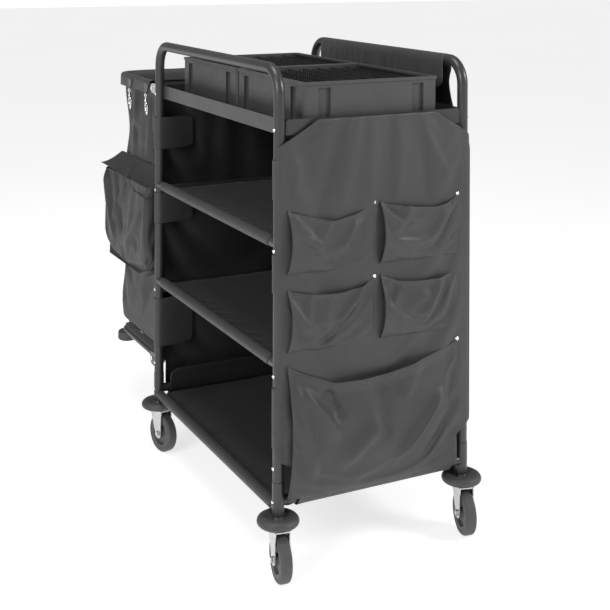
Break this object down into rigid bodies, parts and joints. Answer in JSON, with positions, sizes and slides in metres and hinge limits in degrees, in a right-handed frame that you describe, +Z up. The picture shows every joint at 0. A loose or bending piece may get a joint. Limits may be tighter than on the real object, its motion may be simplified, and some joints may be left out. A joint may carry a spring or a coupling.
{
  "type": "housekeeping cart",
  "caption": "Housekeeping cart with a tube frame on swivel casters, fabric shelves, a tray of lift-out bins, an end pocket organizer and a folding linen bag.",
  "frame": {"origin": "on the floor, midway between the four corner posts", "axes": "+X along the cart towards the pocket organizer, -X towards the linen bag, -Y the open side, +Z up"},
  "size_m": [1.3947, 0.641, 1.2495],
  "materials": {
    "tube_paint": "semi-gloss anthracite powder coat",
    "fabric": "coated woven polyester, slight sheen",
    "net": "near-black woven sheet",
    "zinc": "bright zinc plate",
    "chrome": "polished",
    "bumper_rubber": "matte",
    "hub_plastic": "moulded",
    "tyre_rubber": "matte grey rubber",
    "bin_plastic": "moulded, fine grain",
    "insert_plastic": "black, matte"
  },
  "bodies": {
    "cart_frame": {"front_handle_frame": "tube_paint", "rear_handle_frame": "tube_paint", "leg_tubes": "tube_paint", "end_rails": "tube_paint", "upper_shelf_bars": "tube_paint", "middle_shelf_bars": "tube_paint", "bottom_shelf_bars": "tube_paint", "upper_shelf_cover": "fabric", "middle_shelf_cover": "fabric", "bottom_shelf_cover": "fabric", "top_tray": "tube_paint", "tray_spacers": "tube_paint", "frame_fasteners": "chrome", "organizer_panel": "fabric", "pocket_upper_front": "fabric", "pocket_upper_rear": "fabric", "pocket_lower_front": "fabric", "pocket_lower_rear": "fabric", "large_pocket": "fabric", "pocket_snaps": "chrome", "bag_end_panel": "fabric", "back_panel": "fabric", "post_bumpers": "bumper_rubber", "caster_stems": "zinc", "swivel_races": "zinc", "rim_brackets": "zinc", "pivot_rivets": "chrome", "platform_brackets": "tube_paint", "linen_bag": "fabric", "bag_pouch": "fabric"},
    "caster_front_organizer": {"fork_front_organizer": "zinc", "axle_front_organizer": "zinc"},
    "wheel_front_organizer": {"hub_front_organizer": "hub_plastic", "tyre_front_organizer": "tyre_rubber"},
    "caster_rear_organizer": {"fork_rear_organizer": "zinc", "axle_rear_organizer": "zinc"},
    "wheel_rear_organizer": {"hub_rear_organizer": "hub_plastic", "tyre_rear_organizer": "tyre_rubber"},
    "caster_front_bag": {"fork_front_bag": "zinc", "axle_front_bag": "zinc"},
    "wheel_front_bag": {"hub_front_bag": "hub_plastic", "tyre_front_bag": "tyre_rubber"},
    "caster_rear_bag": {"fork_rear_bag": "zinc", "axle_rear_bag": "zinc"},
    "wheel_rear_bag": {"hub_rear_bag": "hub_plastic", "tyre_rear_bag": "tyre_rubber"},
    "bag_rim": {"rim_frame": "tube_paint", "rim_hem": "fabric"},
    "hooks_inner": {"snap_hooks_inner": "chrome"},
    "hooks_outer": {"snap_hooks_outer": "chrome"},
    "bag_platform": {"platform_frame": "tube_paint", "platform_deck": "net", "roller_pins": "zinc"},
    "front_roller": {"roller_front": "bumper_rubber"},
    "rear_roller": {"roller_rear": "bumper_rubber"},
    "bag_flap": {"pouch_flap": "fabric"},
    "organizer_end_bin": {"bin_organizer_end": "bin_plastic", "insert_organizer_end": "insert_plastic"},
    "bag_end_bin": {"bin_bag_end": "bin_plastic", "insert_bag_end": "insert_plastic"}
  },
  "joints": [
    {"name": "swivel_front_organizer", "type": "hinge", "parent": "cart_frame", "child": "caster_front_organizer", "pos_m": [0.4215, -0.268, 0.124], "axis": [0, 0, 1], "continuous": true},
    {"name": "spin_front_organizer", "type": "hinge", "parent": "caster_front_organizer", "child": "wheel_front_organizer", "pos_m": [0.44619, -0.27191, 0.056], "axis": [0.1564, 0.9877, 0], "continuous": true},
    {"name": "swivel_rear_organizer", "type": "hinge", "parent": "cart_frame", "child": "caster_rear_organizer", "pos_m": [0.4215, 0.268, 0.124], "axis": [0, 0, 1], "continuous": true},
    {"name": "spin_rear_organizer", "type": "hinge", "parent": "caster_rear_organizer", "child": "wheel_rear_organizer", "pos_m": [0.44576, 0.26195, 0.056], "axis": [0.2419, 0.9703, 0], "continuous": true},
    {"name": "swivel_front_bag", "type": "hinge", "parent": "cart_frame", "child": "caster_front_bag", "pos_m": [-0.4215, -0.268, 0.124], "axis": [0, 0, 1], "continuous": true},
    {"name": "spin_front_bag", "type": "hinge", "parent": "caster_front_bag", "child": "wheel_front_bag", "pos_m": [-0.39714, -0.26238, 0.056], "axis": [-0.225, 0.9744, 0], "continuous": true},
    {"name": "swivel_rear_bag", "type": "hinge", "parent": "cart_frame", "child": "caster_rear_bag", "pos_m": [-0.4215, 0.268, 0.124], "axis": [0, 0, 1], "continuous": true},
    {"name": "spin_rear_bag", "type": "hinge", "parent": "caster_rear_bag", "child": "wheel_rear_bag", "pos_m": [-0.3966, 0.27018, 0.056], "axis": [-0.0872, 0.9962, 0], "continuous": true},
    {"name": "bag_fold", "type": "hinge", "parent": "cart_frame", "child": "bag_rim", "pos_m": [-0.51, 0, 1.093], "axis": [0, -1, 0], "range_deg": [0, 90], "deforming": ["linen_bag", "bag_pouch", "pouch_flap"]},
    {"name": "platform_fold", "type": "hinge", "parent": "cart_frame", "child": "bag_platform", "pos_m": [-0.51, 0, 0.247], "axis": [0, 1, 0], "range_deg": [0, 90]},
    {"name": "hooks_inner_swing", "type": "hinge", "parent": "bag_rim", "child": "hooks_inner", "pos_m": [-0.565, 0, 1.063], "axis": [0, 1, 0], "range_deg": [0, 90]},
    {"name": "hooks_outer_swing", "type": "hinge", "parent": "bag_rim", "child": "hooks_outer", "pos_m": [-0.725, 0, 1.063], "axis": [0, 1, 0], "range_deg": [0, 90]},
    {"name": "front_roller_spin", "type": "hinge", "parent": "bag_platform", "child": "front_roller", "pos_m": [-0.84482, -0.22682, 0.221], "axis": [0, 0, 1], "continuous": true},
    {"name": "rear_roller_spin", "type": "hinge", "parent": "bag_platform", "child": "rear_roller", "pos_m": [-0.84482, 0.22682, 0.221], "axis": [0, 0, 1], "continuous": true},
    {"name": "flap_lift", "type": "hinge", "parent": "cart_frame", "child": "bag_flap", "pos_m": [-0.66, -0.233, 0.841], "axis": [-1, 0, 0], "range_deg": [0, 100]},
    {"name": "lift_organizer_end_bin", "type": "slide", "parent": "cart_frame", "child": "organizer_end_bin", "axis": [0, 0, 1], "range_m": [0, 0.2]},
    {"name": "lift_bag_end_bin", "type": "slide", "parent": "cart_frame", "child": "bag_end_bin", "axis": [0, 0, 1], "range_m": [0, 0.2]}
  ],
  "couplings": [
    {"joint": "platform_fold", "follows": "bag_fold", "ratio": 1},
    {"joint": "hooks_inner_swing", "follows": "bag_fold", "ratio": 1},
    {"joint": "hooks_outer_swing", "follows": "bag_fold", "ratio": 1}
  ]
}
